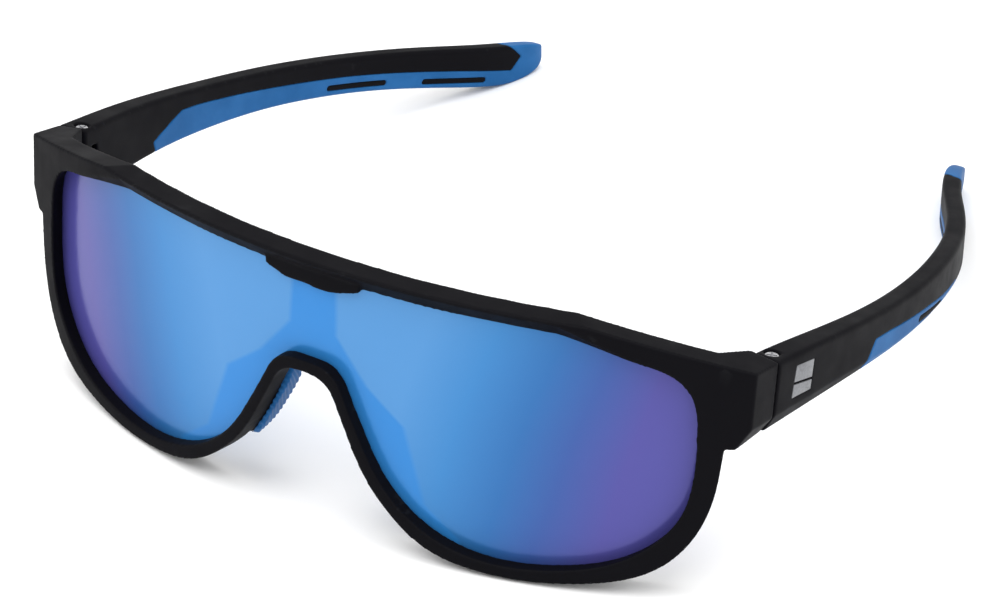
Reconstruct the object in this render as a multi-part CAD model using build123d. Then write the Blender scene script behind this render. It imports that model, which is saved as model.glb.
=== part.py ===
from build123d import *
import math
import os

# Wraparound sport sunglasses: a full-rim frame around one shield lens, and two folding
# temples with soft grips. Millimetres, +Z up, the front faces -Y, +X is the wearer's left.
# The design frame has Y and Z zero at the top of the hinge seams. ON_TABLE stands the
# finished pieces on the surface, with the origin under the middle of the glasses.

# ---- front ---------------------------------------------------------------------------
WRAP_RADIUS = 140.0        # radius of the wrapped front face, seen along the front's height
FRONT_TILT = 6.0           # the top of the front leans back by this angle, degrees
BRIDGE_Y = -25.3           # front face at the bridge, measured from the hinge seam
BRIDGE_Z = 8.0             # height of the front outlines' zero line over the seam top
RIM_DEPTH = 4.9            # thickness of the rim from front to back
LENS_RECESS = 2.55         # the lens lies this far behind the front face
LENS_THICK = 1.6
LENS_BITE = 0.85           # how far the lens edge reaches into the groove
GROOVE_GAP = 0.12          # free play round the lens edge
FACE_GAP = 0.03            # free play before and behind the lens
BAR_TOP = 0.4              # flat top of the bar over the outlines' zero line
BAR_END = 70.2             # half width of the bar
BAR_END_LOW = -13.8        # the bar's straight end reaches down to this height
BROW_DROP = 3.0            # the sloped band under the brow crease is this high
BROW_END = 42.0            # half width of the full sloped band
BUMP_HALF = 9.0            # half width of the bump under the middle of the bar
BUMP_DEPTH = 1.3           # the bump's face lies this far behind the crease
LEAF_TIP = (55.0, -5.1)    # where the sloped band runs out towards the end piece: (x, height)
WRAP_HEIGHT = 90.0         # height of the swept wrap, taller than the front
WRAP_MIDDLE = -20.0        # middle height of the swept wrap
# Outer edge of the rim, right half, from the end piece round to the nose arch: (x, height)
OUTER_SIDE = [(66.9, -17.6), (66.7, -21), (66.3, -26), (65.3, -31), (63.3, -36), (60, -40.2)]
OUTER_BOTTOM = [(55.2, -43.1), (49.4, -44.8), (44, -45.8), (38, -46.4), (32, -46.3), (27, -45.7)]
ARCH_SIDE = [(22.2, -44.1), (18.4, -41.6), (14.9, -38.3), (12.1, -34.8), (9.9, -31), (8.1, -27.2)]
ARCH_TOP = [(6.5, -23.8), (5.1, -21.2), (3.1, -19.7), (0, -19.3)]
# Edge of the lens opening, right half, from the middle of the bar round to the nose arch
OPENING_TOP = [(0, -4.5), (4.6, -4.4), (6.9, -3.8), (9.2, -3.15), (14, -2.95), (26, -2.75)]
OPENING_BROW = [(38, -2.6), (44, -3), (50, -3.9), (55.5, -5), (59.4, -6.6), (61.8, -9.6)]
OPENING_SIDE = [(62.8, -14.7), (63, -20), (62.7, -26), (61.6, -30.6), (59.3, -34.6)]
OPENING_LOW = [(55.6, -38.4), (50.9, -41.2), (44.5, -43.2), (36, -44.3), (29, -43.7)]
OPENING_NOSE = [(23.4, -41.8), (18.2, -38.4), (13.6, -33.2), (10.4, -27.5), (7.6, -21.9)]
OPENING_ARCH = [(6, -19.1), (4, -17.7), (0, -17.3)]

# ---- end pieces and hinges --------------------------------------------------------------
SEAM_DEPTH = 26.0          # hinge seam behind the bridge, in the front's own frame
SEAM_TOP = -5.3            # top of the seam in the front's own frame
SIDE_X = 70.3              # outside of the end piece
END_LOW = -18.2            # underside of the end piece at the seam
# Plan of the end piece, from its root in the rim round to its front corner: (x, depth)
END_PLAN = [(60, 8), (60, 18.3), (62.6, 20.4), (65.2, 26), (70.3, 26), (70.2, 18.9), (70.1, 8)]
END_TALL = 27.0            # height swept from the plan, before the top and underside are cut
CORNER_DEPTH = 18.9        # depth of the end piece's front corner
CORNER_RISE = 0.95         # the front corner's top over the top of the seam
END_SLOPE_OUT = 0.135      # fall of the end piece's top, outwards and back
END_SLOPE_BACK = 0.134
FACET_DROP = 9.7           # the outer face is this high before the lower facet starts
FACET_IN = 2.1             # the lower facet runs in by this much
# Lower facet of the end piece: (depth, height of its upper edge, height of its lower edge)
FACET_ENDS = [(8, -12.4, -17.4), (27, -15, -18.25)]
SEAM_GAP = 0.15            # seam between end piece and temple
HINGE_X = 67.6
HINGE_BACK = 2.8           # hinge axis behind the seam
LUG_RADIUS = 1.8
LUG_TOP = -9.4
LUG_LOW = -14.4
LUG_PLAY = 0.2             # play over, under and round the lug
KNUCKLE_RADIUS = 2.55      # inner front corner of the temple, rounded about the axis
SCREW_RADIUS = 0.7
SCREW_PLAY = 0.05
HEAD_RADIUS = 1.3
HEAD_HEIGHT = 0.8
HEAD_TOP = -6.0            # screw head, just under the temple's top face
SCREW_END = -17.1
CROSS_LENGTH = 1.7         # cross recess in the screw head
CROSS_WIDTH = 0.36
CROSS_ANGLE = 20.0
INSERT_RADIUS = 1.25
INSERT_LENGTH = 2.6
HINGE_REACH = (-40.0, 20.0)  # lower and upper end of shapes that clear the whole hinge

# ---- temples ----------------------------------------------------------------------------
# Stations of the arm: distance behind the seam, outer face x, drop of the top edge, height,
# thickness. The first lies ahead of the seam, where the hinge cuts the arm off.
STATIONS = [
    (-6, 70.3, -1.4, 13.4, 5.1),
    (4, 70.8, 0.8, 12.5, 5.1),
    (14, 71.5, 3.1, 11.4, 4.6),
    (28, 72.05, 6.7, 9.9, 4.0),
    (42, 71.8, 10.4, 8.7, 3.8),
    (56, 70.6, 13.9, 8.0, 3.8),
    (70, 68.1, 17.4, 7.8, 3.8),
    (84, 64.0, 20.9, 8.0, 3.8),
    (96, 58.6, 23.8, 8.5, 3.9),
    (106, 53.5, 26.3, 8.8, 3.9),
    (112, 50.9, 27.8, 8.3, 3.7),
    (116, 49.3, 28.9, 6.9, 3.3),
    (119, 48.3, 30.0, 5.0, 2.6),
    (120.6, 47.8, 30.9, 3.0, 1.7),
]
CORNER = 0.75              # rounding of the arm's long edges
FACET_HIGH = 3.4           # height of the lower facet at the seam
FACET_END = 60.0           # the lower facet has shrunk to a small bevel here
FACET_LEFT = 0.25          # share of the facet that is left there
FACET_LEAN = 0.8           # the arm's facet is this much steeper than the end piece's
GRIP_SKIN = 0.85           # thickness of the rubber over the black core
CORE_STATIONS = 112.5      # the black core is shaped by the stations up to here
CORE_END = 109.0           # and ends here, just before the rubber tip
BEYOND_TIP = (46.0, 126.0)  # the middle surface of the arm runs on to here: (x, distance)
# Black face left free by the rubber, lower edge and tip: (distance behind the seam, height)
OUTER_EDGE = [(26.5, -17.2), (31.5, -12.3), (36, -13.4), (48, -16.9), (56, -19.3), (64, -22)]
OUTER_EDGE += [(75, -25.4), (76.5, -32)]
OUTER_TIP = [(111, -40), (111, 5)]
INNER_EDGE = [(22.8, -16.2), (22.2, -13.3), (31.5, -11.1), (36, -12.1), (48, -15.3), (60, -18.6)]
INNER_EDGE += [(76, -22.9), (100, -29.6)]
INNER_TIP = [(111.3, -33), (113.7, -30.6), (111, -27.4), (111, 5)]
# Slots through the rubber: start, end, their heights, and the side they open to
SLOTS = [(71, -23.6, 85, -27.4, -1), (92.5, -29.7, 105.5, -33.2, -1), (50, -18.9, 63, -22.8, 1)]
SLOT_HALF = 0.55
# Badge: light inlay, flush with the outer face: (distance behind the seam, height)
BADGE = [(5.2, -3.2), (10.4, -4.6), (9.7, -9.9), (4.1, -8.7)]
BADGE_THICK = 0.3

# ---- nose pads --------------------------------------------------------------------------
# Stations of a pad: height on the front, inner face x, half length in depth
PAD_STATIONS = [(-22.6, 6.7, 1.2), (-25, 6.6, 2.6), (-30, 8.6, 3.5), (-35, 11.2, 3.2), (-38.6, 13.8, 1.5)]
PAD_DEPTH = 8.0            # middle of the pad behind the front face
PAD_THICK = 1.5
PAD_ROUND = 0.42           # corner radius of a pad's section, as a share of its thickness
WING_THICK = 1.7           # thickness of the black wing behind the pad
WING_EDGE = 0.1            # the wing is this much longer than the pad at both ends
PAD_SPLAY = 8.0            # the pads open towards the face, degrees

# ---- standing on the table -----------------------------------------------------------------
LEAN = 1.35                # the glasses lean back by this much on rim and temple tips, degrees
TABLE_Y = -45.3
TABLE_Z = 38.55
ON_TABLE = Location((0, TABLE_Y, TABLE_Z), (-LEAN, 0, 0))
FRONT_PLACE = Location((0, BRIDGE_Y, BRIDGE_Z), (-FRONT_TILT, 0, 0))
REACH = 70.0               # longer than the front is deep, for cutting shapes
RIM_SWEEP = (-15.0, 45.0)   # the front lies well between these two depths


def both_halves(points):
    """A closed run of points from its right half; the first and last lie on x = 0."""
    return points + [(-x, z) for x, z in reversed(points[1:-1])]


def front_plate(face):
    """A flat outline swept straight through the front."""
    return extrude(Plane.XZ * face, amount=REACH, both=True)


def wrapped_wall(near, far):
    """The part of the wrap between two depths behind the front face."""
    outer = Cylinder(WRAP_RADIUS - near, WRAP_HEIGHT)
    inner = Cylinder(WRAP_RADIUS - far, WRAP_HEIGHT + 2)
    return Pos(0, WRAP_RADIUS, WRAP_MIDDLE) * (outer - inner)


def wall_point(x, height, depth):
    """A point of the wrap, in the front's own frame."""
    radius = WRAP_RADIUS - depth
    return Vector(x, WRAP_RADIUS - math.sqrt(radius ** 2 - x ** 2), height)


def rim_outline(depth):
    """The outer outline of the rim, with the nose arch, on a flat plane at a depth.

    The rim's walls run towards the axis of the wrap, so the outline narrows with depth.
    """
    def across_plane(points):
        return [((WRAP_RADIUS - depth) * math.tan(math.asin(x / WRAP_RADIUS)), z) for x, z in points]

    right = across_plane([(BAR_END, BAR_TOP), (BAR_END, BAR_END_LOW), OUTER_SIDE[0]])
    left = [(-x, z) for x, z in right]
    curve = across_plane(OUTER_SIDE + OUTER_BOTTOM + ARCH_SIDE + ARCH_TOP)
    run = curve + [(-x, z) for x, z in reversed(curve[:-1])]
    face = make_face(Polyline(*right) + Polyline(*left) + Line(right[0], left[0]) + Spline(*run))
    return Plane.XZ * Pos(0, 0, -depth) * face


def rim_plate():
    """The rim's outline swept through the whole depth of the front."""
    return loft([rim_outline(depth) for depth in RIM_SWEEP], ruled=True)


def opening_outline(grow=0.0):
    """The lens opening, or the same outline grown outwards by a margin."""
    half = OPENING_TOP + OPENING_BROW + OPENING_SIDE + OPENING_LOW + OPENING_NOSE + OPENING_ARCH
    points = [Vector(x, z) for x, z in both_halves(half)]
    grown = []
    for index, point in enumerate(points):
        run = points[(index + 1) % len(points)] - points[index - 1]
        outwards = Vector(-run.Y, run.X).normalized()
        grown.append(point + outwards * grow)
    return make_face(Spline(*grown, periodic=True))


def brow_cut(start, stop, depth):
    """Material taken from under the brow crease between two half widths, one side."""
    drop = BROW_DROP * depth / LENS_RECESS
    low = -BROW_DROP - 5
    profile = Polyline((-3, 0), (0, 0), (depth, -drop), (depth, low), (-3, low), close=True)
    face = Plane.YZ * make_face(profile)
    first = math.degrees(math.asin(start / WRAP_RADIUS))
    last = math.degrees(math.asin(stop / WRAP_RADIUS))
    axis = Axis((0, WRAP_RADIUS, 0), (0, 0, 1))
    return revolve(face.rotate(axis, first), axis, revolution_arc=last - first)


def brow_corner():
    """The leaf-shaped end of the sloped band, beside the full band on the +X side."""
    start = BROW_END - 0.6
    crease = wall_point(start, 0.1, 0)
    tip = wall_point(*LEAF_TIP, 0)
    low = wall_point(start, -BROW_DROP, LENS_RECESS)
    slope = Face(Wire.make_polygon([crease, tip, low], close=True))
    return extrude(slope, amount=12, dir=(0, -1, 0))


def brow_shape():
    """All the material that is missing under the brow crease, on the +X side."""
    middle = brow_cut(0, BUMP_HALF, BUMP_DEPTH)
    return middle + brow_cut(BUMP_HALF - 0.01, BROW_END, LENS_RECESS) + brow_corner()


def end_block():
    """The block that turns back from the front to the hinge seam, on the +X side."""
    plan = make_face(Polyline(*END_PLAN, close=True))
    block = Pos(0, 0, END_LOW - 4) * extrude(plan, amount=END_TALL)
    high = END_LOW + END_TALL
    side = Polyline((5, high), (SEAM_DEPTH, high), (SEAM_DEPTH, END_LOW), (5, END_LOW + 1), close=True)
    block &= extrude(Plane.YZ * make_face(side), amount=80)
    return block & Pos(0, WRAP_RADIUS, WRAP_MIDDLE) * Cylinder(WRAP_RADIUS, WRAP_HEIGHT)


def end_facet_cut():
    """Everything outside the slanted lower facet of the end block."""
    inner = SIDE_X - FACET_IN
    sections = []
    for depth, high, low in FACET_ENDS:
        outer = SIDE_X + 3
        points = [(outer, high + 3), (SIDE_X, high), (inner, low), (inner, low - 4), (outer, low - 4)]
        sections.append(Plane.XZ * Pos(0, 0, -depth) * make_face(Polyline(*points, close=True)))
    return loft(sections, ruled=True)


def end_top_cut():
    """Everything over the sloping top of the end block: a plane that falls outwards and back."""
    corner = Vector(SIDE_X, CORNER_DEPTH, SEAM_TOP + CORNER_RISE)
    across_slope = (1, 0, -END_SLOPE_OUT)
    slope = Plane(origin=corner, x_dir=across_slope, z_dir=(END_SLOPE_OUT, END_SLOPE_BACK, 1))
    return slope * Pos(0, 0, 10) * Box(60, 80, 20)


def hinge_column(radius, low, high):
    """A round column on the hinge axis, in the front's own frame."""
    place = Pos(HINGE_X, SEAM_DEPTH + HINGE_BACK, (low + high) / 2)
    return place * Cylinder(radius, high - low)


def lug():
    """The tongue of the frame that the hinge screw passes through."""
    column = hinge_column(LUG_RADIUS, LUG_LOW, LUG_TOP)
    length = HINGE_BACK + 2
    place = Pos(HINGE_X, SEAM_DEPTH + HINGE_BACK - length / 2, (LUG_LOW + LUG_TOP) / 2)
    return column + place * Box(2 * LUG_RADIUS, length, LUG_TOP - LUG_LOW)


def pad_body(inner, outer, grow):
    """A splayed lozenge behind one arch leg, between two offsets from the pad's inner face."""
    width = outer - inner
    sections = []
    for height, x, half in PAD_STATIONS:
        length = 2 * (half + grow)
        outline = RectangleRounded(width, length, min(width, length) * PAD_ROUND)
        place = Pos(x + (inner + outer) / 2, PAD_DEPTH + x ** 2 / (2 * WRAP_RADIUS), height)
        sections.append(place * Rot(0, 0, -PAD_SPLAY) * outline)
    return loft(sections)


def nose_wing():
    """Black wing behind one arch leg, which carries the rubber pad."""
    return pad_body(PAD_THICK * 0.6, PAD_THICK + WING_THICK, WING_EDGE)


def mirrored(shape):
    return mirror(shape, about=Plane.YZ)


def front_frame():
    """Rim, end pieces, hinge lugs and nose wings as one moulding, in the front's own frame."""
    opening = opening_outline()
    frame = rim_plate() & wrapped_wall(0, RIM_DEPTH)
    block = end_block()
    frame += block + mirrored(block)
    for cut in (end_facet_cut(), end_top_cut(), brow_shape()):
        frame -= cut
        frame -= mirrored(cut)
    frame -= front_plate(opening)
    tongue = lug()
    frame += tongue + mirrored(tongue)
    wing = nose_wing()
    frame += wing + mirrored(wing)
    groove = front_plate(opening_outline(LENS_BITE + GROOVE_GAP))
    frame -= groove & wrapped_wall(LENS_RECESS - FACE_GAP, LENS_RECESS + LENS_THICK + FACE_GAP)
    hole = hinge_column(SCREW_RADIUS + SCREW_PLAY, LUG_LOW - 1, LUG_TOP + 1)
    frame -= hole
    frame -= mirrored(hole)
    return frame


def shield_lens():
    """The wrapped lens, with its edge in the groove of the rim."""
    return front_plate(opening_outline(LENS_BITE)) & wrapped_wall(LENS_RECESS, LENS_RECESS + LENS_THICK)


def nose_pad(frame):
    """Soft pad on the +X wing, cut to sit on the frame."""
    return pad_body(0, PAD_THICK, 0) - frame


def arm_section(back, outer_x, drop, height, thick, inset):
    """Cross-section of the arm across its length, with its lower outer facet."""
    share = max(FACET_LEFT, 1 - max(back, 0) / FACET_END) * min(1.0, thick / FACET_HIGH)
    top = -drop
    low = top - height + inset
    outer = outer_x - inset
    inner = outer_x - thick + inset
    facet_foot = (outer - FACET_IN * FACET_LEAN * share, low)
    points = [(outer, top), (inner, top), (inner, low), facet_foot, (outer, low + FACET_HIGH * share)]
    face = Plane.XZ * Pos(0, 0, -back) * make_face(Polyline(*points, close=True))
    return fillet(face.vertices(), min(CORNER, thick / 5, height / 5))


def arm_loft(inset=0.0, end=200):
    """The full body of the +X arm, or the same body with its sides and underside set in."""
    return loft([arm_section(*row, inset) for row in STATIONS if row[0] <= end])


def across(points):
    """A side-view outline swept across the whole +X half of the glasses."""
    return extrude(Plane.YZ * make_face(Polyline(*points, close=True)), amount=100)


def arm_side(sign):
    """Everything on the outer (1) or inner (-1) side of the arm's middle surface."""
    middle = [(row[1] - row[4] / 2, row[0]) for row in STATIONS] + [BEYOND_TIP]
    far_x = 100 if sign > 0 else 20
    close = Polyline(middle[-1], (far_x, BEYOND_TIP[1]), (far_x, STATIONS[0][0]), middle[0])
    return extrude(make_face(Spline(*middle) + close), amount=REACH, both=True)


def black_face(edge, tip):
    """The part of the arm's side that the rubber leaves free."""
    ahead = STATIONS[0][0] - 4
    return across([(ahead, 5), (ahead, -25), (edge[0][0], -25)] + edge + tip)


def slot_cut(start, start_height, end, end_height):
    """A long round-ended slot, swept across the arm."""
    run = Vector(end - start, end_height - start_height)
    angle = math.degrees(math.atan2(run.Y, run.X))
    place = Pos(start + run.X / 2, start_height + run.Y / 2) * Rot(0, 0, angle)
    return extrude(Plane.YZ * place * SlotOverall(run.length, 2 * SLOT_HALF), amount=100)


def temple_grip(full):
    """The rubber moulded round the lower edge and the tip of the arm."""
    sides = {1: arm_side(1), -1: arm_side(-1)}
    ahead_of_tip = across([(-20, 20), (CORE_END, 20), (CORE_END, -60), (-20, -60)])
    grip = full - (arm_loft(GRIP_SKIN, CORE_STATIONS) & ahead_of_tip)
    grip -= black_face(OUTER_EDGE, OUTER_TIP) & sides[1]
    grip -= black_face(INNER_EDGE, INNER_TIP) & sides[-1]
    for start, start_height, end, end_height, side in SLOTS:
        grip -= slot_cut(start, start_height, end, end_height) & sides[side]
    return grip


def badge(full):
    """Thin plate let into the outer face just behind the hinge."""
    return (across(BADGE) & full & arm_side(1)) - arm_loft(BADGE_THICK)


def room(x_range, depth_range, low, high):
    """A box-shaped space at the hinge, in the front's own frame."""
    size_x = x_range[1] - x_range[0]
    size_y = depth_range[1] - depth_range[0]
    place = Pos(sum(x_range) / 2, sum(depth_range) / 2, (low + high) / 2)
    return place * Box(size_x, size_y, high - low)


def hinge_space():
    """Room for the frame at the temple's front end, in the front's own frame."""
    axis_y = SEAM_DEPTH + HINGE_BACK
    inside = HINGE_X - 10
    ahead = room((inside - 10, SIDE_X + 10), (0, SEAM_DEPTH + SEAM_GAP), *HINGE_REACH)
    corner = room((inside, HINGE_X), (axis_y - 10, axis_y), *HINGE_REACH)
    knuckle = corner - hinge_column(KNUCKLE_RADIUS, *HINGE_REACH)
    low = LUG_LOW - LUG_PLAY
    high = LUG_TOP + LUG_PLAY
    radius = LUG_RADIUS + LUG_PLAY
    front_room = room((inside, HINGE_X + radius), (axis_y - 6, axis_y), low, high)
    inner_room = room((inside, HINGE_X), (axis_y - radius, axis_y + radius), low, high)
    return ahead + knuckle + (front_room + inner_room + hinge_column(radius, low, high))


def hinge_holes():
    """Screw head recess, screw hole and insert pocket, in the front's own frame."""
    head_low = HEAD_TOP - HEAD_HEIGHT
    recess = hinge_column(HEAD_RADIUS + SCREW_PLAY, head_low, HEAD_TOP + 3)
    bore = hinge_column(SCREW_RADIUS + SCREW_PLAY, LUG_TOP, head_low + 0.1)
    insert_top = LUG_LOW - LUG_PLAY
    return recess + bore + hinge_column(INSERT_RADIUS, insert_top - INSERT_LENGTH, insert_top + 0.1)


def hinge_screw():
    """Pan-head screw with a cross recess."""
    head_low = HEAD_TOP - HEAD_HEIGHT
    head = hinge_column(HEAD_RADIUS, head_low, HEAD_TOP)
    head = fillet(head.edges().sort_by(Axis.Z)[-1], 0.3)
    screw = head + hinge_column(SCREW_RADIUS, SCREW_END, head_low)
    top = Pos(HINGE_X, SEAM_DEPTH + HINGE_BACK, HEAD_TOP)
    for angle in (CROSS_ANGLE, CROSS_ANGLE + 90):
        screw -= top * Rot(0, 0, angle) * Box(CROSS_LENGTH, CROSS_WIDTH, HEAD_HEIGHT)
    return screw


def hinge_insert():
    """Threaded brass sleeve in the lower ear."""
    top = LUG_LOW - LUG_PLAY
    sleeve = hinge_column(INSERT_RADIUS, top - INSERT_LENGTH, top)
    return sleeve - hinge_column(SCREW_RADIUS + SCREW_PLAY, top - INSERT_LENGTH - 1, top + 1)


def temple_pieces():
    """The pieces of the +X temple, in the design frame."""
    full = arm_loft() - FRONT_PLACE * hinge_space()
    grip = temple_grip(full)
    plate = badge(full)
    arm = full - grip - plate - FRONT_PLACE * hinge_holes()
    pieces = {"temple": arm, "temple_grip": grip, "badge": plate}
    pieces["hinge_screw"] = FRONT_PLACE * hinge_screw()
    pieces["hinge_insert"] = FRONT_PLACE * hinge_insert()
    return pieces


def standing(shape):
    """A piece of the design frame, stood on the table, with a small flat where it rests."""
    table = Pos(0, 0, -REACH / 2) * Box(3 * REACH, 3 * REACH, REACH)
    return ON_TABLE * shape - table


def main():
    """Write one STEP file for each piece, all standing on the table."""
    os.makedirs("parts", exist_ok=True)
    frame = front_frame()
    nodes = {"front_frame": FRONT_PLACE * frame, "shield_lens": FRONT_PLACE * shield_lens()}
    pairs = temple_pieces()
    pairs["nose_pad"] = FRONT_PLACE * nose_pad(frame)
    for name, piece in pairs.items():
        nodes[name + "_left"] = piece
        nodes[name + "_right"] = mirrored(piece)
    for name, shape in nodes.items():
        export_step(standing(shape), f"parts/{name}.step")


if __name__ == "__main__":
    main()
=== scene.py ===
import math

import bmesh
import bpy
from mathutils import Matrix, Vector


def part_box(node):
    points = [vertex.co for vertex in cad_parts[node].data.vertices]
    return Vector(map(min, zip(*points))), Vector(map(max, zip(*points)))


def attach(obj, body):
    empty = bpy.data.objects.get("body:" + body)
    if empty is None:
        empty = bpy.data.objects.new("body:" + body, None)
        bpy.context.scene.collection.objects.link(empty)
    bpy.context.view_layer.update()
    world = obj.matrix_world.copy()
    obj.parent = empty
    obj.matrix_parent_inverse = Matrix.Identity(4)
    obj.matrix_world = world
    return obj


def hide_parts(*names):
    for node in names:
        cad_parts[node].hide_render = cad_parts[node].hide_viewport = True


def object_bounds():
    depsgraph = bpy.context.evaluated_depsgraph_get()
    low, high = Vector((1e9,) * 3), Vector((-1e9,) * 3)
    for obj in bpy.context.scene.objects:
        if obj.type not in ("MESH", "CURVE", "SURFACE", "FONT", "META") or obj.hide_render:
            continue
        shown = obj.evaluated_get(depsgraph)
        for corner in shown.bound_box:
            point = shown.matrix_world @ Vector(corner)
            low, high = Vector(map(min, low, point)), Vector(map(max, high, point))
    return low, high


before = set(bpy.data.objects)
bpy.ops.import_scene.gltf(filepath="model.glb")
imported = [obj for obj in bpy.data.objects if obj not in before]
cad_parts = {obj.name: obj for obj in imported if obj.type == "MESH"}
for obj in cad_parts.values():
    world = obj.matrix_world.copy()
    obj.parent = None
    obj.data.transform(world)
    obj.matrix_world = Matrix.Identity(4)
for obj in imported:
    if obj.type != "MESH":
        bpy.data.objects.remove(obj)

# Wraparound sport sunglasses. Metres, +Z up, the front faces -Y, +X is the wearer's left.
MM = 0.001
LEAN = math.radians(1.35)         # the glasses stand leaning back by this much
FRONT_TILT = math.radians(6.0)    # the front leans back from the temples
WRAP_RADIUS = 140 * MM            # radius of the wrapped front
LENS_FRONT = 2.55 * MM            # depth of the lens's two faces behind the front's face
LENS_BACK = 4.15 * MM
CAD_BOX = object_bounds()
SIDES = ("left", "right")


def table_place():
    """The transform that stands the design frame, with its hinge seams at Y = Z = 0, on the table."""
    return Matrix.Translation((0, -45.3 * MM, 38.55 * MM)) @ Matrix.Rotation(-LEAN, 4, "X")


def front_place():
    """The transform from the front's own frame, which its flat outlines are drawn in."""
    lean = Matrix.Rotation(-FRONT_TILT, 4, "X")
    return table_place() @ Matrix.Translation((0, -25.3 * MM, 8 * MM)) @ lean


# ---- camera, light and floor ---------------------------------------------------------------
CAMERA_AZIMUTH = math.radians(32.21)
CAMERA_ELEVATION = math.radians(32.28)
CAMERA_SPOT = Vector((247.11, -360.71, 263.09)) * MM
LENS_LENGTH = 112.68
SENSOR_WIDTH = 36
NEAR_LIMIT = 0.01                 # nothing nearer to the camera than this is drawn
WORLD_STRENGTH = 0.8
FLOOR_HALF = 3.0                  # half the floor's side


def add_camera():
    """The viewing angle: from the front left of the wearer, well above the table."""
    cos_a, sin_a = math.cos(CAMERA_AZIMUTH), math.sin(CAMERA_AZIMUTH)
    cos_e, sin_e = math.cos(CAMERA_ELEVATION), math.sin(CAMERA_ELEVATION)
    back = Vector((sin_a * cos_e, -cos_a * cos_e, sin_e))
    right = Vector((cos_a, sin_a, 0))
    up = back.cross(right)
    turn = Matrix((right, up, back)).transposed().to_4x4()
    data = bpy.data.cameras.new("camera")
    data.sensor_width = SENSOR_WIDTH
    data.lens = LENS_LENGTH
    data.clip_start = NEAR_LIMIT
    camera = bpy.data.objects.new("camera", data)
    bpy.context.scene.collection.objects.link(camera)
    camera.matrix_world = table_place() @ Matrix.Translation(CAMERA_SPOT) @ turn
    bpy.context.scene.camera = camera


def add_area_light(name, place, target, size, power):
    """A soft rectangular light that faces a point."""
    data = bpy.data.lights.new(name, "AREA")
    data.shape = "RECTANGLE"
    data.size, data.size_y = size
    data.energy = power
    light = bpy.data.objects.new(name, data)
    bpy.context.scene.collection.objects.link(light)
    light.location = place
    light.rotation_euler = (Vector(target) - Vector(place)).to_track_quat("-Z", "Y").to_euler()


def add_lights():
    """Soft studio light: one wide box overhead, two at the sides, and an even white room."""
    add_area_light("top_box", (0.0, -0.15, 0.75), (0, 0, 0), (0.8, 0.8), 5.0)
    add_area_light("left_box", (-0.75, -0.35, 0.45), (0, 0, 0.02), (0.6, 0.6), 1.6)
    add_area_light("right_box", (0.85, 0.05, 0.5), (0, 0, 0.02), (0.5, 0.7), 2.0)
    world = bpy.data.worlds.new("studio")
    world.use_nodes = True
    back = world.node_tree.nodes["Background"]
    back.inputs["Color"].default_value = (1, 1, 1, 1)
    back.inputs["Strength"].default_value = WORLD_STRENGTH
    bpy.context.scene.world = world
    bpy.context.scene.view_settings.view_transform = "Standard"


def add_floor():
    """A plain pale floor, much wider than the view."""
    mesh = bpy.data.meshes.new("floor")
    half = FLOOR_HALF
    corners = [(-half, -half, 0), (half, -half, 0), (half, half, 0), (-half, half, 0)]
    mesh.from_pydata(corners, [], [(0, 1, 2, 3)])
    floor = bpy.data.objects.new("floor", mesh)
    bpy.context.scene.collection.objects.link(floor)
    material, shader, _ = new_material("pale_floor")
    shader.inputs["Base Color"].default_value = (0.93, 0.93, 0.93, 1)
    shader.inputs["Roughness"].default_value = 0.9
    mesh.materials.append(material)


# ---- material helpers ----------------------------------------------------------------------
def new_material(name):
    """A node material, its main shader and a function that adds a node to it."""
    material = bpy.data.materials.new(name)
    material.use_nodes = True
    tree = material.node_tree
    shader = tree.nodes["Principled BSDF"]

    def add(kind, **inputs):
        node = tree.nodes.new(kind)
        for key, value in inputs.items():
            node.inputs[key.replace("_", " ")].default_value = value
        return node

    return material, shader, add


def join(material, source, target):
    """Links two sockets of a material."""
    material.node_tree.links.new(source, target)


def add_bump(material, shader, height, strength, distance):
    """Fine relief on a shader from a height output."""
    bump = material.node_tree.nodes.new("ShaderNodeBump")
    bump.inputs["Strength"].default_value = strength
    bump.inputs["Distance"].default_value = distance
    join(material, height, bump.inputs["Height"])
    join(material, bump.outputs["Normal"], shader.inputs["Normal"])


def add_ramp(material, source, stops):
    """A colour ramp fed by a value; stops are (position, colour)."""
    ramp = material.node_tree.nodes.new("ShaderNodeValToRGB")
    while len(ramp.color_ramp.elements) < len(stops):
        ramp.color_ramp.elements.new(0.5)
    for element, (position, colour) in zip(ramp.color_ramp.elements, stops):
        element.position = position
        element.color = colour
    join(material, source, ramp.inputs["Fac"])
    return ramp


# ---- materials -----------------------------------------------------------------------------
BLACK = (0.0040, 0.0038, 0.0052, 1)
BLACK_WORN = (0.0075, 0.0075, 0.009, 1)
BLUE_RUBBER = (0.011, 0.088, 0.25, 1)
BLUE_RUBBER_LIGHT = (0.020, 0.120, 0.32, 1)
STEEL_DARK = (0.50, 0.50, 0.52, 1)
STEEL_LIGHT = (0.78, 0.78, 0.80, 1)
BRASS_DARK = (0.42, 0.28, 0.10, 1)
BRASS_LIGHT = (0.62, 0.44, 0.18, 1)
BADGE_DARK = (0.13, 0.135, 0.145, 1)
BADGE_LIGHT = (0.19, 0.195, 0.21, 1)
COAT_LIGHT = (0.078, 0.262, 0.560, 1)
COAT_SKY = (0.042, 0.210, 0.500, 1)
COAT_BLUE = (0.026, 0.140, 0.390, 1)
COAT_INDIGO = (0.040, 0.095, 0.330, 1)
COAT_VIOLET = (0.078, 0.073, 0.310, 1)
# painted reflection: the brighter blue of the band at the bridge stands in for a reflection on the lens
PAINTED_REFLECTION_BLUE = (0.030, 0.215, 0.570, 1)
COAT_REACH = 0.064                # the side colours are spread from the middle out to here
COAT_STOPS = [(0.28, COAT_LIGHT), (0.45, COAT_SKY), (0.60, COAT_BLUE)]
COAT_STOPS += [(0.72, COAT_INDIGO), (0.86, COAT_VIOLET)]
COAT_LEAN = 0.3                   # each colour moves outwards by this share of the height
COAT_MIDDLE = 0.026               # height that the spread is given for
COAT_DRIFT = 0.003                # the colours wander by up to this much
REFLECTION_BLUR = 0.012                 # half the soft edge of the painted reflection band at the bridge, as a share of its reach
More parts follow.
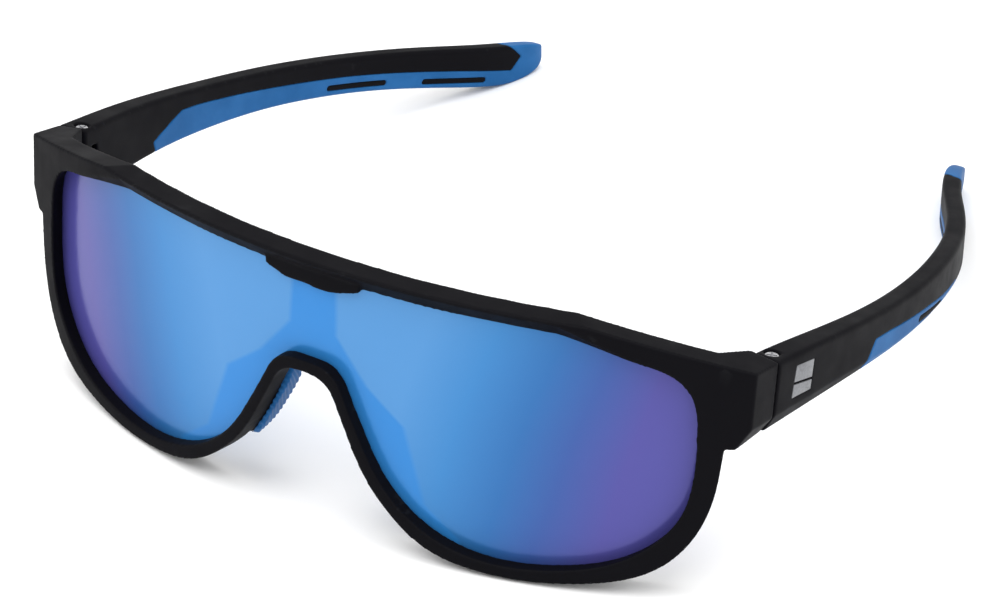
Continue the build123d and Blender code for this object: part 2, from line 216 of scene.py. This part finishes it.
REFLECTION_LOW, REFLECTION_HIGH = 0.004, 0.042  # the painted reflection band's edge is given between these heights
REFLECTION_REACH = 0.040                # distance from the middle that a share of 1 stands for
REFLECTION_EDGE = [(0.0, 0.69), (0.13, 0.535), (0.47, 0.43), (0.61, 0.26), (0.80, 0.112), (1.0, 0.105)]


def moulded_black(name):
    """Matte black nylon: very fine moulded grain, a little uneven in gloss, paler on worn edges."""
    material, shader, add = new_material(name)
    place = add("ShaderNodeTexCoord").outputs["Object"]
    grain = add("ShaderNodeTexNoise", Scale=5200.0, Detail=3.0, Roughness=0.6)
    clouds = add("ShaderNodeTexNoise", Scale=160.0, Detail=4.0, Roughness=0.55)
    for noise in (grain, clouds):
        join(material, place, noise.inputs["Vector"])
    edges = add("ShaderNodeNewGeometry").outputs["Pointiness"]
    wear = add("ShaderNodeMapRange", From_Min=0.51, From_Max=0.58, To_Min=0.0, To_Max=1.0)
    join(material, edges, wear.inputs["Value"])
    mix = material.node_tree.nodes.new("ShaderNodeMix")
    mix.data_type = "RGBA"
    mix.inputs["A"].default_value = BLACK
    mix.inputs["B"].default_value = BLACK_WORN
    join(material, wear.outputs["Result"], mix.inputs["Factor"])
    join(material, mix.outputs["Result"], shader.inputs["Base Color"])
    gloss = add("ShaderNodeMapRange", From_Min=0.3, From_Max=0.7, To_Min=0.46, To_Max=0.58)
    join(material, clouds.outputs["Fac"], gloss.inputs["Value"])
    join(material, gloss.outputs["Result"], shader.inputs["Roughness"])
    shader.inputs["Specular IOR Level"].default_value = 0.035
    add_bump(material, shader, grain.outputs["Fac"], 0.12, 0.00004)
    return material


def blue_rubber(name):
    """Satin soft rubber: soft sheen, faint flow marks and a fine matte skin."""
    material, shader, add = new_material(name)
    place = add("ShaderNodeTexCoord").outputs["Object"]
    skin = add("ShaderNodeTexNoise", Scale=3800.0, Detail=2.0, Roughness=0.5)
    flow = add("ShaderNodeTexNoise", Scale=90.0, Detail=5.0, Roughness=0.6)
    for noise in (skin, flow):
        join(material, place, noise.inputs["Vector"])
    ramp = add_ramp(material, flow.outputs["Fac"], [(0.35, BLUE_RUBBER), (0.65, BLUE_RUBBER_LIGHT)])
    join(material, ramp.outputs["Color"], shader.inputs["Base Color"])
    shader.inputs["Roughness"].default_value = 0.46
    shader.inputs["Specular IOR Level"].default_value = 0.05
    shader.inputs["Sheen Weight"].default_value = 0.02
    shader.inputs["Sheen Roughness"].default_value = 0.5
    add_bump(material, shader, skin.outputs["Fac"], 0.10, 0.00004)
    return material


def coating_with_painted_reflection():
    """Mirror coated polycarbonate: a vivid band at the bridge that is a painted reflection, then light
    blue, blue and violet coating colours outwards.

    The side colours lean, so that lower on the lens each of them lies nearer to the middle.
    """
    material, shader, add = new_material("coating_with_painted_reflection")
    place = add("ShaderNodeTexCoord").outputs["Object"]
    drift = add("ShaderNodeTexNoise", Scale=14.0, Detail=2.0, Roughness=0.4)
    join(material, place, drift.inputs["Vector"])
    parts = add("ShaderNodeSeparateXYZ")
    join(material, place, parts.inputs["Vector"])
    width = add("ShaderNodeMath")
    width.operation = "ABSOLUTE"
    join(material, parts.outputs["X"], width.inputs[0])
    shift = add("ShaderNodeMapRange", From_Min=0.3, From_Max=0.7, To_Min=-COAT_DRIFT, To_Max=COAT_DRIFT)
    join(material, drift.outputs["Fac"], shift.inputs["Value"])
    across = add("ShaderNodeMath")
    across.operation = "ADD"
    join(material, width.outputs["Value"], across.inputs[0])
    join(material, shift.outputs["Result"], across.inputs[1])
    lean = add("ShaderNodeMapRange", From_Min=0.0, From_Max=2 * COAT_MIDDLE)
    lean.inputs["To Min"].default_value = COAT_LEAN * COAT_MIDDLE
    lean.inputs["To Max"].default_value = -COAT_LEAN * COAT_MIDDLE
    join(material, parts.outputs["Z"], lean.inputs["Value"])
    leaning = add("ShaderNodeMath")
    leaning.operation = "ADD"
    join(material, across.outputs["Value"], leaning.inputs[0])
    join(material, lean.outputs["Result"], leaning.inputs[1])
    span = add("ShaderNodeMapRange", From_Min=0.0, From_Max=COAT_REACH, To_Min=0.0, To_Max=1.0)
    join(material, leaning.outputs["Value"], span.inputs["Value"])
    sides = add_ramp(material, span.outputs["Result"], COAT_STOPS)
    # painted reflection: a brighter band at the bridge, mixed over the coating's colours
    height = add("ShaderNodeMapRange", From_Min=REFLECTION_LOW, From_Max=REFLECTION_HIGH)
    join(material, parts.outputs["Z"], height.inputs["Value"])
    reflection_shares = [(spot, (share, share, share, 1)) for spot, share in REFLECTION_EDGE]
    reflection_outline = add_ramp(material, height.outputs["Result"], reflection_shares)
    inside_reflection = add("ShaderNodeMath")
    inside_reflection.operation = "SUBTRACT"
    join(material, reflection_outline.outputs["Color"], inside_reflection.inputs[0])
    reflection_width = add("ShaderNodeMapRange", From_Min=0.0, From_Max=REFLECTION_REACH)
    join(material, width.outputs["Value"], reflection_width.inputs["Value"])
    join(material, reflection_width.outputs["Result"], inside_reflection.inputs[1])
    reflection_share = add("ShaderNodeMapRange", From_Min=-REFLECTION_BLUR, From_Max=REFLECTION_BLUR)
    join(material, inside_reflection.outputs["Value"], reflection_share.inputs["Value"])
    mix = material.node_tree.nodes.new("ShaderNodeMix")
    mix.data_type = "RGBA"
    mix.inputs["B"].default_value = PAINTED_REFLECTION_BLUE
    join(material, reflection_share.outputs["Result"], mix.inputs["Factor"])
    join(material, sides.outputs["Color"], mix.inputs["A"])
    join(material, mix.outputs["Result"], shader.inputs["Base Color"])
    shader.inputs["Metallic"].default_value = 0.2
    shader.inputs["Roughness"].default_value = 0.2
    shader.inputs["Specular IOR Level"].default_value = 0.2
    shader.inputs["Coat Weight"].default_value = 0.12
    shader.inputs["Coat Roughness"].default_value = 0.04
    return material


def bright_steel():
    """Stainless steel with fine uneven scratches."""
    material, shader, add = new_material("bright_steel")
    place = add("ShaderNodeTexCoord").outputs["Object"]
    scratches = add("ShaderNodeTexNoise", Scale=2600.0, Detail=4.0, Roughness=0.7)
    join(material, place, scratches.inputs["Vector"])
    ramp = add_ramp(material, scratches.outputs["Fac"], [(0.3, STEEL_DARK), (0.7, STEEL_LIGHT)])
    join(material, ramp.outputs["Color"], shader.inputs["Base Color"])
    shader.inputs["Metallic"].default_value = 1.0
    shader.inputs["Roughness"].default_value = 0.24
    add_bump(material, shader, scratches.outputs["Fac"], 0.08, 0.00003)
    return material


def plain_brass():
    """Brass of the threaded sleeves."""
    material, shader, add = new_material("plain_brass")
    place = add("ShaderNodeTexCoord").outputs["Object"]
    tarnish = add("ShaderNodeTexNoise", Scale=700.0, Detail=3.0, Roughness=0.6)
    join(material, place, tarnish.inputs["Vector"])
    ramp = add_ramp(material, tarnish.outputs["Fac"], [(0.3, BRASS_DARK), (0.7, BRASS_LIGHT)])
    join(material, ramp.outputs["Color"], shader.inputs["Base Color"])
    shader.inputs["Metallic"].default_value = 1.0
    shader.inputs["Roughness"].default_value = 0.35
    return material


def badge_finish():
    """Satin grey metal paint of the badge's plates, slightly speckled."""
    material, shader, add = new_material("badge_finish")
    place = add("ShaderNodeTexCoord").outputs["Object"]
    speck = add("ShaderNodeTexNoise", Scale=2400.0, Detail=2.0, Roughness=0.5)
    join(material, place, speck.inputs["Vector"])
    ramp = add_ramp(material, speck.outputs["Fac"], [(0.3, BADGE_DARK), (0.7, BADGE_LIGHT)])
    join(material, ramp.outputs["Color"], shader.inputs["Base Color"])
    shader.inputs["Metallic"].default_value = 0.3
    shader.inputs["Roughness"].default_value = 0.33
    return material


# ---- shaping helpers -----------------------------------------------------------------------
SAME_POINT = 2e-6                 # points closer than this are one


def copy_of(node, name):
    """A new object with a copy of a CAD node's mesh, its doubled points joined."""
    piece = bpy.data.objects.new(name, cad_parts[node].data.copy())
    bpy.context.scene.collection.objects.link(piece)
    piece.data.materials.clear()
    work = bmesh.new()
    work.from_mesh(piece.data)
    bmesh.ops.remove_doubles(work, verts=work.verts, dist=SAME_POINT)
    work.to_mesh(piece.data)
    work.free()
    return piece


def apply_modifiers(piece):
    """Puts the piece's modifiers into its mesh."""
    depsgraph = bpy.context.evaluated_depsgraph_get()
    mesh = bpy.data.meshes.new_from_object(piece.evaluated_get(depsgraph))
    piece.modifiers.clear()
    piece.data = mesh


def soften(piece, voxel, rounds, keep):
    """Gives the piece the small rounded edges of a moulding, and an even mesh.

    The mesh is smoothed for a number of rounds, and a share of its faces is kept.
    """
    remesh = piece.modifiers.new("even", "REMESH")
    remesh.mode = "VOXEL"
    remesh.voxel_size = voxel
    smooth = piece.modifiers.new("round", "SMOOTH")
    smooth.factor = 0.5
    smooth.iterations = rounds
    if keep < 1:
        fewer = piece.modifiers.new("fewer", "DECIMATE")
        fewer.ratio = keep
    apply_modifiers(piece)
    for polygon in piece.data.polygons:
        polygon.use_smooth = True


def keep_in_box(piece):
    """Holds every point inside the box of the CAD model."""
    low, high = CAD_BOX
    for vertex in piece.data.vertices:
        for axis in range(3):
            vertex.co[axis] = min(max(vertex.co[axis], low[axis]), high[axis])


def finish_piece(piece, material, node, body):
    """Gives a finished piece its material and its place in the frame."""
    piece.data.materials.clear()
    piece.data.materials.append(material)
    keep_in_box(piece)
    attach(piece, body)
    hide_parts(node)


# ---- pieces --------------------------------------------------------------------------------
FRAME_VOXEL = 0.22 * MM           # size of the even mesh of each moulded piece
LENS_VOXEL = 0.45 * MM
TEMPLE_VOXEL = 0.2 * MM
GRIP_VOXEL = 0.16 * MM
PAD_VOXEL = 0.13 * MM
LENS_SNAP = 0.4 * MM              # points this near to a face of the lens are put on it
RIB_PITCH = 0.85 * MM
RIB_DEPTH = 0.16 * MM
RIB_RUN = (0.8, 0.6)              # share of Y and of Z in the direction across the ribs
BADGE_GAP = 0.45 * MM             # gap between the badge's two fields
BADGE_SPLIT = 0.44                # the gap's place, as a share of the badge's height
BADGE_SLOPE = 0.35                # share of Y in the gap's normal, beside 1 of Z
BADGE_EDGE = 0.06 * MM            # width of the plates' bevelled edges


def make_frame(black):
    """The frame as a moulding with small soft edges."""
    piece = copy_of("front_frame", "frame_moulding")
    soften(piece, FRAME_VOXEL, 12, 0.55)
    finish_piece(piece, black, "front_frame", "front")


def make_lens(coating):
    """The shield with both faces exactly on the wrap, so that it reflects cleanly."""
    piece = copy_of("shield_lens", "shield")
    soften(piece, LENS_VOXEL, 0, 1)
    inward = front_place().inverted()
    outward = front_place()
    for vertex in piece.data.vertices:
        spot = inward @ vertex.co
        radius = math.hypot(spot.x, WRAP_RADIUS - spot.y)
        depth = WRAP_RADIUS - radius
        for face in (LENS_FRONT, LENS_BACK):
            if abs(depth - face) < LENS_SNAP:
                scale = (WRAP_RADIUS - face) / radius
                spot.x *= scale
                spot.y = WRAP_RADIUS - (WRAP_RADIUS - spot.y) * scale
        vertex.co = outward @ spot
    finish_piece(piece, coating, "shield_lens", "front")


def make_temple(side, black):
    """One arm as a moulding with small soft edges."""
    piece = copy_of(f"temple_{side}", f"arm_{side}")
    soften(piece, TEMPLE_VOXEL, 10, 0.6)
    finish_piece(piece, black, f"temple_{side}", f"{side}_temple")


def make_grip(side, rubber):
    """The rubber along the lower edge and the tip of one arm."""
    piece = copy_of(f"temple_grip_{side}", f"grip_{side}")
    soften(piece, GRIP_VOXEL, 8, 0.6)
    finish_piece(piece, rubber, f"temple_grip_{side}", f"{side}_temple")


def make_nose_pad(side, rubber):
    """One pad, with slanting ribs moulded into its skin."""
    piece = copy_of(f"nose_pad_{side}", f"pad_{side}")
    soften(piece, PAD_VOXEL, 6, 1)
    spots = [vertex.co + vertex.normal * -rib_depth(vertex.co) for vertex in piece.data.vertices]
    for vertex, spot in zip(piece.data.vertices, spots):
        vertex.co = spot
    finish_piece(piece, rubber, f"nose_pad_{side}", "front")


def rib_depth(spot):
    """Depth of the ribbed skin below the pad's plain surface at a point."""
    along = spot.y * RIB_RUN[0] + spot.z * RIB_RUN[1]
    return RIB_DEPTH * (0.5 - 0.5 * math.cos(2 * math.pi * along / RIB_PITCH))


def make_badge(side, finish):
    """The inlaid plate as two plain fields with a slanting gap between them."""
    low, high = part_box(f"badge_{side}")
    middle = low.lerp(high, BADGE_SPLIT)
    across = Vector((0, BADGE_SLOPE, 1)).normalized()
    piece = copy_of(f"badge_{side}", f"plate_{side}")
    whole = piece.data
    both = bmesh.new()
    for sign in (1, -1):
        work = bmesh.new()
        work.from_mesh(whole)
        everything = work.verts[:] + work.edges[:] + work.faces[:]
        cut = bmesh.ops.bisect_plane(
            work, geom=everything, plane_co=middle + across * sign * BADGE_GAP / 2,
            plane_no=across * sign, clear_inner=True)
        rim = [item for item in cut["geom_cut"] if isinstance(item, bmesh.types.BMEdge)]
        bmesh.ops.contextual_create(work, geom=rim)
        part = bpy.data.meshes.new("field")
        work.to_mesh(part)
        both.from_mesh(part)
        work.free()
    both.to_mesh(whole)
    both.free()
    soft = piece.modifiers.new("soft", "BEVEL")
    soft.width = BADGE_EDGE
    soft.segments = 2
    soft.limit_method = "ANGLE"
    apply_modifiers(piece)
    finish_piece(piece, finish, f"badge_{side}", f"{side}_temple")


def dress_node(node, material):
    """Gives a CAD node that stays as it is its real material."""
    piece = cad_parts[node]
    piece.data.materials.clear()
    piece.data.materials.append(material)


def build():
    """Makes the materials and every visible piece."""
    black = moulded_black("frame_black")
    arm_black = moulded_black("arm_black")
    grip_rubber = blue_rubber("grip_rubber")
    pad_rubber = blue_rubber("pad_rubber")
    steel = bright_steel()
    brass = plain_brass()
    badge = badge_finish()
    make_frame(black)
    make_lens(coating_with_painted_reflection())
    for side in SIDES:
        make_temple(side, arm_black)
        make_grip(side, grip_rubber)
        make_nose_pad(side, pad_rubber)
        make_badge(side, badge)
        dress_node(f"hinge_screw_{side}", steel)
        dress_node(f"hinge_insert_{side}", brass)


add_camera()
add_lights()
add_floor()
build()
